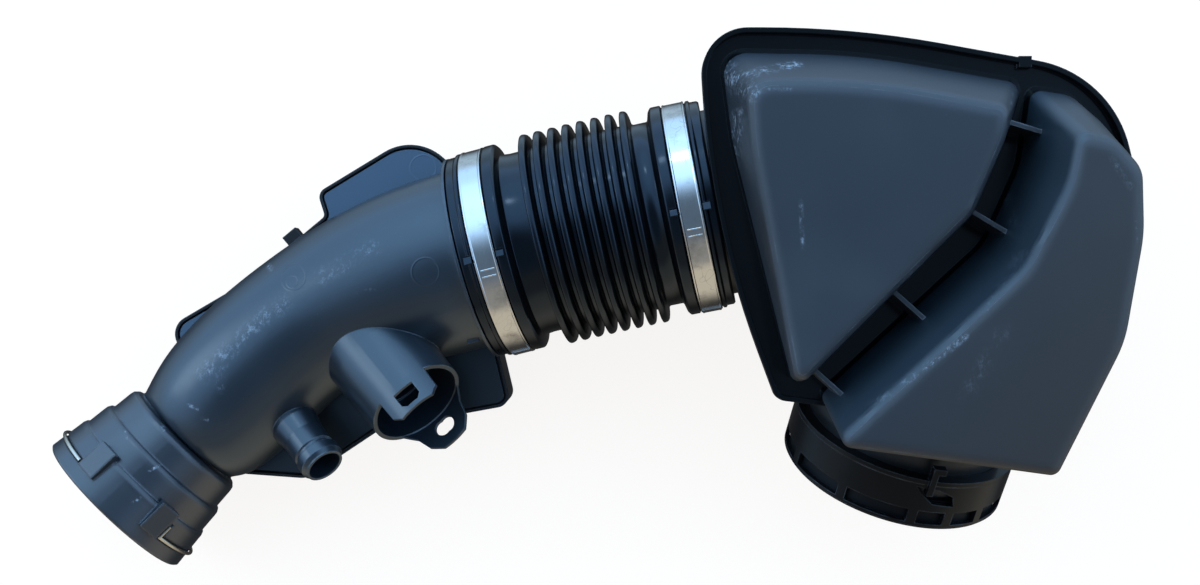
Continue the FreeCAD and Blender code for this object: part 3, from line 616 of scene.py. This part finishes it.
def surroundings(studio):
    """World with a blue sky, a dim room in front and a pale ground."""
    shade = Shade("studio", world=True)
    way = shade.node("ShaderNodeTexCoord", output="Generated")
    back = shade.dot(way, (0, 1, 0))
    height = shade.dot(way, (0, 0, 1))
    glow = shade.step(shade.dot(way, Vector(GLOW_WAY).normalized()), *GLOW_RISE)
    overhead = shade.step(shade.dot(way, Vector(OVERHEAD_WAY).normalized()), *OVERHEAD_RISE)
    sky = shade.mix(tint(*studio.room), tint(*studio.sky), shade.step(back, *SKY_RISE))
    sky = shade.mix(sky, tint(*studio.glow), glow)
    sky = shade.mix(sky, tint(*studio.overhead), overhead)
    far = shade.step(back, *GROUND_RISE)
    ground = shade.mix(tint(*studio.ground_front), tint(*studio.ground_back), far)
    below = shade.step(height, *BELOW_RISE) * (1.0 - shade.step(back, *BEHIND_RISE) * 0.9)
    ground = shade.mix(ground, tint(*studio.ground_below), below)
    horizon = shade.step(height + back * HORIZON_TILT, *HORIZON_RISE)
    shade.plug(shade.surface.inputs["Color"], shade.mix(ground, sky, horizon))
    return shade.made


# Geometry

def heading(angle, rise):
    """Direction at an angle from X, rising by a second angle."""
    turn, climb = math.radians(angle), math.radians(rise)
    return Vector((math.cos(climb) * math.cos(turn), math.cos(climb) * math.sin(turn), math.sin(climb)))


def seat(origin, axis, top=UP):
    """Matrix at origin with local Z along the axis and local X towards the top."""
    z = axis.normalized()
    x = (top - z * top.dot(z)).normalized()
    y = z.cross(x)
    return Matrix((
        (x.x, y.x, z.x, origin.x),
        (x.y, y.y, z.y, origin.y),
        (x.z, y.z, z.z, origin.z),
        (0, 0, 0, 1)))


def hose_place(distance):
    """Matrix on the hose's bent axis, at a distance from the middle of the left band."""
    turn = math.radians(HOSE_HEADINGS[1] - HOSE_HEADINGS[0]) / BAND_SPACING
    first = math.radians(HOSE_HEADINGS[0])
    angle = first + turn * distance
    level = math.cos(math.radians(HOSE_SLOPE))
    offset = Vector((level * (math.sin(angle) - math.sin(first)) / turn,
                     level * (math.cos(first) - math.cos(angle)) / turn,
                     distance * math.sin(math.radians(HOSE_SLOPE))))
    return seat(HOSE_START + offset, heading(math.degrees(angle), HOSE_SLOPE))


def polar(along, radius, angle):
    """Point at a height along local Z, at a radius and an angle from local X."""
    return Vector((radius * math.cos(angle), radius * math.sin(angle), along))


def new_piece(name, bm, slot, nodes, sharp):
    """Object from a mesh under way, riding on the root and standing for some nodes."""
    bmesh.ops.recalc_face_normals(bm, faces=bm.faces)
    mesh = bpy.data.meshes.new(name)
    bm.to_mesh(mesh)
    bm.free()
    mesh.shade_smooth()
    mesh.set_sharp_from_angle(angle=math.radians(sharp))
    mesh.materials.append(bpy.data.materials[slot])
    piece = bpy.data.objects.new(name, mesh)
    bpy.context.scene.collection.objects.link(piece)
    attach(piece, "root")
    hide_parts(*nodes)
    return piece


def loft_rings(bm, rings, segments):
    """Closed skin through rings (matrix, radius), from the last one back to the first."""
    loops = []
    for matrix, radius in rings:
        angles = [2 * math.pi * index / segments for index in range(segments)]
        loops.append([bm.verts.new(scaled(matrix @ polar(0, radius, angle))) for angle in angles])
    for first, second in zip(loops, loops[1:] + loops[:1]):
        for index in range(segments):
            following = (index + 1) % segments
            bm.faces.new((first[index], first[following], second[following], second[index]))


def sweep_section(bm, sections, closed):
    """Skin over sections of the same number of points, with end caps if it is open."""
    loops = [[bm.verts.new(scaled(point)) for point in section] for section in sections]
    count = len(loops[0])
    pairs = list(zip(loops, loops[1:]))
    if closed:
        pairs.append((loops[-1], loops[0]))
    for first, second in pairs:
        for index in range(count):
            following = (index + 1) % count
            bm.faces.new((first[index], first[following], second[following], second[index]))
    if not closed:
        bm.faces.new(loops[0])
        bm.faces.new(list(reversed(loops[-1])))


def rounded_profile(corners, radius):
    """Corners (along, out) with each one rounded by a radius, in four steps."""
    steps = 4
    points = [Vector(corner) for corner in corners]
    result = [points[0]]
    for before, here, after in zip(points, points[1:], points[2:]):
        back, on = before - here, after - here
        reach = min(radius, back.length * 0.45, on.length * 0.45)
        start, end = here + back.normalized() * reach, here + on.normalized() * reach
        for step in range(steps + 1):
            part = step / steps
            result.append(start * (1 - part) ** 2 + here * 2 * part * (1 - part) + end * part ** 2)
    result.append(points[-1])
    return result


# The bellows hose

def cuff_corners(sizes, shoulder):
    """Outer form of one cuff from its open end to its neck, measured from its band."""
    cuff, edge, bead = sizes.cuff / MM, sizes.edge_bead / MM, sizes.bead / MM
    overhang, half = sizes.overhang / MM, SEAT_HALF
    return [(-overhang, cuff - 0.8), (-overhang + 0.8, cuff), (-half - 2.3, cuff),
            (-half - 1.9, edge), (-half - 0.5, edge), (-half, cuff), (half, cuff),
            (half + 0.4, bead), (half + 4.8, bead), (half + 6.1, bead - 1.6),
            (half + 7.2, sizes.neck / MM + 0.5), (shoulder, sizes.neck / MM)]


def pleats(sizes):
    """Points of the bellows: flat-topped crests, sharper on the left, with deep valleys."""
    pitch, crest, valley = sizes.pitch / MM, sizes.crest / MM, sizes.valley / MM
    points = []
    for index in range(sizes.pleats):
        middle = sizes.first / MM + index * pitch
        for phase, rise in PLEAT:
            foot = sizes.neck / MM if index == 0 and phase < -0.3 else valley
            points.append((middle + phase * pitch, foot + (crest - foot) * rise))
    return points


def locating_blocks(bm, sizes):
    """Small rounded blocks with a sloping top on the cuffs beside both bands."""
    for middle in (0.0, BAND_SPACING):
        for side in (-1, 1):
            turn = Matrix.Rotation(math.radians(BLOCK_TURN), 4, "Z")
            place = hose_place(middle + side * BLOCK_DISTANCE) @ turn
            place = place @ Matrix.Translation((sizes.bead / MM + 0.1, 0, 0))
            block = bmesh.ops.create_cube(bm, size=1.0)["verts"]
            high, wide, long = BLOCK_SIZE
            for vert in block:
                x, y, z = vert.co
                fall = BLOCK_FALL if x > 0 > y else 0.0
                vert.co = scaled(place @ Vector((x * high - fall, y * wide, z * long)))
            edges = {edge for vert in block for edge in vert.link_edges}
            bmesh.ops.bevel(bm, geom=list(edges), offset=BLOCK_ROUNDING * MM, segments=3, profile=0.5,
                            affect="EDGES")


def build_hose(sizes):
    """Rubber hose with beads beside its bands, locating blocks and pleats."""
    last = sizes.first / MM + (sizes.pleats - 0.5) * sizes.pitch / MM
    left = [tuple(p) for p in rounded_profile(cuff_corners(sizes, LEFT_SHOULDER), CUFF_ROUNDING)]
    right = [(BAND_SPACING - p[0], p[1])
             for p in reversed(rounded_profile(cuff_corners(sizes, RIGHT_SHOULDER), CUFF_ROUNDING))]
    outer = left + pleats(sizes) + [(last, sizes.neck / MM)] + right
    bore, way, end = sizes.bore / MM, sizes.neck / MM - HOSE_WALL, sizes.overhang / MM
    inner = [(BAND_SPACING + end, bore), (BAND_SPACING - BORE_END, bore),
             (BAND_SPACING - RIGHT_SLOPE_END, way), (BAND_SPACING * 0.25, way), (LEFT_SLOPE_END, way),
             (BORE_END, bore), (-end, bore)]
    bm = bmesh.new()
    loft_rings(bm, [(hose_place(along), radius) for along, radius in outer + inner], sizes.segments)
    locating_blocks(bm, sizes)
    return new_piece("bellows_hose_dressed", bm, "hose_rubber", ["bellows_hose"], 50.0)


# The band clamps

def strip_section(place, angle, inner, outer, half, rolled):
    """Section of a strip across its width, with raised rolled edges on its outside."""
    lip, fall = 0.95, 0.35
    top = outer + rolled
    outline = [(-half, inner), (half, inner), (half, outer + rolled * 0.6), (half - 0.25, top),
               (half - lip + fall, top), (half - lip, outer), (-half + lip, outer),
               (-half + lip - fall, top), (-half + 0.25, top), (-half, outer + rolled * 0.6)]
    return [place @ polar(along, radius, angle) for along, radius in outline]


def build_band(sizes, name, node, distance):
    """One steel strip round a cuff with its lap, the squeezed ear and two pressed marks."""
    place = hose_place(distance)
    inner, thick, half = sizes.radius / MM, sizes.thickness / MM, sizes.width / MM / 2
    rolled = sizes.rolled / MM
    bm = bmesh.new()
    turns = [2 * math.pi * index / BAND_STEPS for index in range(BAND_STEPS)]
    sweep_section(bm, [strip_section(place, a, inner, inner + thick, half, rolled) for a in turns], True)
    first = sizes.ear_angle - sizes.lap_angle
    turns = [first + sizes.lap_angle * index / LAP_STEPS for index in range(LAP_STEPS + 1)]
    lap_top, lap_half = inner + 1.8 * thick, half - LAP_INSET
    sweep_section(bm, [strip_section(place, a, inner + thick, lap_top, lap_half, LAP_ROLLED)
                       for a in turns], False)
    height, reach = sizes.ear_height / MM, sizes.ear_width / MM / 2
    arch = [(-reach, 0.0), (-reach * 0.95, height * 0.7), (-reach * 0.6, height),
            (reach * 0.6, height), (reach * 0.95, height * 0.7), (reach, 0.0)]
    arch = rounded_profile(arch, EAR_ROUNDING)
    turn = Matrix.Rotation(sizes.ear_angle, 4, "Z")
    sections = []
    for across, rise in arch:
        base = inner + thick + rise
        inside = Vector((base - thick, across * (1 - thick / reach), 0))
        outside = Vector((base, across, 0))
        sections.append([place @ turn @ (point + Vector((0, 0, side * (half - EAR_INSET))))
                         for point, side in ((inside, -1), (outside, -1), (outside, 1), (inside, 1))])
    sweep_section(bm, sections, False)
    for offset in (0.0, MARK_SPACING):
        angle = math.radians(MARK_ANGLES[node] + offset)
        mark = []
        for turn_by, rise in ((-0.35, -MARK_SINK), (-0.15, MARK_RISE), (0.15, MARK_RISE),
                              (0.35, -MARK_SINK)):
            here, top = angle + math.radians(turn_by), inner + thick + rise
            corners = ((-MARK_HALF_LENGTH, inner + 0.4), (MARK_HALF_LENGTH, inner + 0.4),
                       (MARK_HALF_LENGTH, top), (-MARK_HALF_LENGTH, top))
            mark.append([place @ polar(along, radius, here) for along, radius in corners])
        sweep_section(bm, mark, False)
    return new_piece(name, bm, "band_steel", [node], 30.0)


# Operators

class INTAKE_OT_finishes(Operator):
    """Makes every finish and gives the CAD nodes theirs"""

    bl_idname = "intake.finishes"
    bl_label = "Finishes"

    def execute(self, context):
        finishes = context.scene.intake_finishes
        for build in FINISHES:
            build(finishes)
        for part in frame["record"]["subparts"]:
            node = frame["nodes"][part["node"]]
            node.data.materials.clear()
            own = OWN_FINISHES.get(part["node"], part["material_slot"])
            node.data.materials.append(bpy.data.materials[own])
        return {"FINISHED"}


class INTAKE_OT_hose(Operator):
    """Builds the rubber bellows hose in place of its plain solid"""

    bl_idname = "intake.hose"
    bl_label = "Bellows hose"

    def execute(self, context):
        build_hose(context.scene.intake_hose)
        return {"FINISHED"}


class INTAKE_OT_bands(Operator):
    """Builds both steel band clamps in place of their plain solids"""

    bl_idname = "intake.bands"
    bl_label = "Band clamps"

    def execute(self, context):
        sizes = context.scene.intake_bands
        build_band(sizes, "pipe_end_clamp_dressed", "pipe_end_clamp", 0.0)
        build_band(sizes, "chamber_end_clamp_dressed", "chamber_end_clamp", BAND_SPACING)
        return {"FINISHED"}


class INTAKE_OT_stage(Operator):
    """Sets the floor, the light and the camera straight above"""

    bl_idname = "intake.stage"
    bl_label = "Stage"

    def execute(self, context):
        studio = context.scene.intake_studio
        floor_finish(studio)
        bpy.ops.mesh.primitive_plane_add(size=12.0, location=(0, 0, 0))
        floor = context.object
        floor.name = "floor"
        floor.data.materials.append(bpy.data.materials["floor"])
        floor.visible_glossy = False
        floor.visible_diffuse = False
        floor.visible_shadow = False
        for name, place, width, height, power, light in LAMPS:
            data = bpy.data.lights.new(name, "AREA")
            data.shape = "RECTANGLE"
            data.size, data.size_y = width * MM, height * MM
            data.energy = power
            data.color = light
            lamp = bpy.data.objects.new(name, data)
            lamp.location = scaled(place)
            lamp.rotation_euler = (-lamp.location).to_track_quat("-Z", "Y").to_euler()
            context.scene.collection.objects.link(lamp)
        context.scene.world = surroundings(studio)
        data = bpy.data.cameras.new("camera")
        data.lens = studio.lens
        camera = bpy.data.objects.new("camera", data)
        camera.location = scaled(SHIFT) + UP * studio.height
        context.scene.collection.objects.link(camera)
        context.scene.camera = camera
        context.scene.view_settings.view_transform = "Standard"
        return {"FINISHED"}


class INTAKE_PT_panel(Panel):
    """Lists the steps in their order"""

    bl_idname = "INTAKE_PT_panel"
    bl_label = "Air intake hose"
    bl_space_type = "VIEW_3D"
    bl_region_type = "UI"
    bl_category = "Intake"

    def draw(self, context):
        for step in STEPS:
            self.layout.operator(step.bl_idname)


STEPS = (INTAKE_OT_finishes, INTAKE_OT_hose, INTAKE_OT_bands, INTAKE_OT_stage)
GROUPS = {"intake_hose": IntakeHoseSizes, "intake_bands": IntakeBandSizes,
          "intake_finishes": IntakeFinishes, "intake_studio": IntakeStudio}


def register():
    for kind in (*GROUPS.values(), *STEPS, INTAKE_PT_panel):
        bpy.utils.register_class(kind)
    for name, kind in GROUPS.items():
        setattr(bpy.types.Scene, name, PointerProperty(type=kind))


def unregister():
    for name in GROUPS:
        delattr(bpy.types.Scene, name)
    for kind in (INTAKE_PT_panel, *reversed(STEPS), *reversed(GROUPS.values())):
        bpy.utils.unregister_class(kind)


def main():
    register()
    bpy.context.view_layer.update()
    bpy.ops.intake.finishes()
    bpy.ops.intake.hose()
    bpy.ops.intake.bands()
    bpy.ops.intake.stage()


if __name__ == "__main__":
    main()
